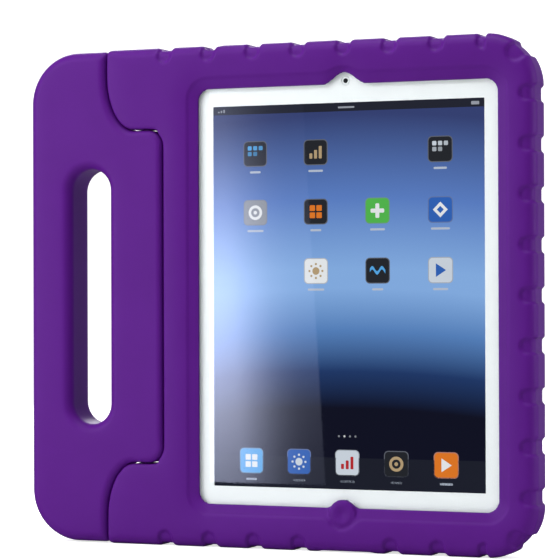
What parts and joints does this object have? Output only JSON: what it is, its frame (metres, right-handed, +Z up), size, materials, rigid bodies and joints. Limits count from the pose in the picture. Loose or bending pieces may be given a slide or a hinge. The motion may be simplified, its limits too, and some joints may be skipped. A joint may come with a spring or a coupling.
{
  "type": "kids tablet case",
  "caption": "Moulded foam tablet case with a slotted carrying handle that swings back as a stand, holding a tablet behind a lipped window.",
  "frame": {"origin": "middle of the flat lower edge that the case stands on, at half its thickness", "axes": "+X to the right seen from the screen side, +Y into the case from the screen to the back, +Z up"},
  "size_m": [0.2808, 0.026, 0.261],
  "materials": {
    "foam": "satin moulded foam with a fine closed-cell skin",
    "pin_steel": "ground steel",
    "sleeve_plastic": "matte",
    "shell_aluminium": "fine blasted",
    "clear_glass": "polished",
    "white_border": "white paint under glass",
    "screen": "lit display",
    "white_button": "gloss",
    "lens_black": "polished black",
    "button_plastic": "satin",
    "port_plastic": "matte",
    "cell_wrap": "matte film",
    "circuit_board": "satin solder mask"
  },
  "bodies": {
    "case_with_tablet": {"case_body": "foam", "hinge_pin_upper": "pin_steel", "hinge_pin_lower": "pin_steel", "ear_socket_upper": "sleeve_plastic", "ear_socket_lower": "sleeve_plastic", "tablet_back_shell": "shell_aluminium", "glass_panel": "clear_glass", "bezel_mask": "white_border", "display_panel": "screen", "home_switch": "port_plastic", "front_camera": "lens_black", "rear_camera": "lens_black", "battery_cell_1": "cell_wrap", "battery_cell_2": "cell_wrap", "battery_cell_3": "cell_wrap", "logic_board": "circuit_board", "dock_connector": "port_plastic", "speaker_module": "port_plastic", "headphone_jack": "port_plastic"},
    "handle": {"handle_stand": "foam", "handle_bush_upper": "sleeve_plastic", "handle_bush_lower": "sleeve_plastic"},
    "home_button": {"home_button": "white_button"},
    "sleep_button": {"sleep_button": "button_plastic"},
    "volume_rocker": {"volume_rocker": "button_plastic"},
    "side_switch": {"side_switch": "button_plastic"}
  },
  "joints": [
    {"name": "handle_swing", "type": "hinge", "parent": "case_with_tablet", "child": "handle", "pos_m": [-0.0755, 0, 0.1305], "axis": [0, 0, -1], "range_deg": [0, 110]},
    {"name": "home_button_press", "type": "slide", "parent": "case_with_tablet", "child": "home_button", "axis": [0, 1, 0], "range_m": [0, 0.0004], "stiffness_N_per_m": 1500},
    {"name": "sleep_button_press", "type": "slide", "parent": "case_with_tablet", "child": "sleep_button", "axis": [0, 0, -1], "range_m": [0, 0.0004], "stiffness_N_per_m": 1500},
    {"name": "volume_rocker_tilt", "type": "hinge", "parent": "case_with_tablet", "child": "volume_rocker", "pos_m": [0.1304, -0.0058, 0.2185], "axis": [0, 1, 0], "range_deg": [-1.5, 1.5], "stiffness_Nm_per_rad": 0.1},
    {"name": "side_switch_slide", "type": "slide", "parent": "case_with_tablet", "child": "side_switch", "axis": [0, 0, -1], "range_m": [0, 0.0018]}
  ]
}
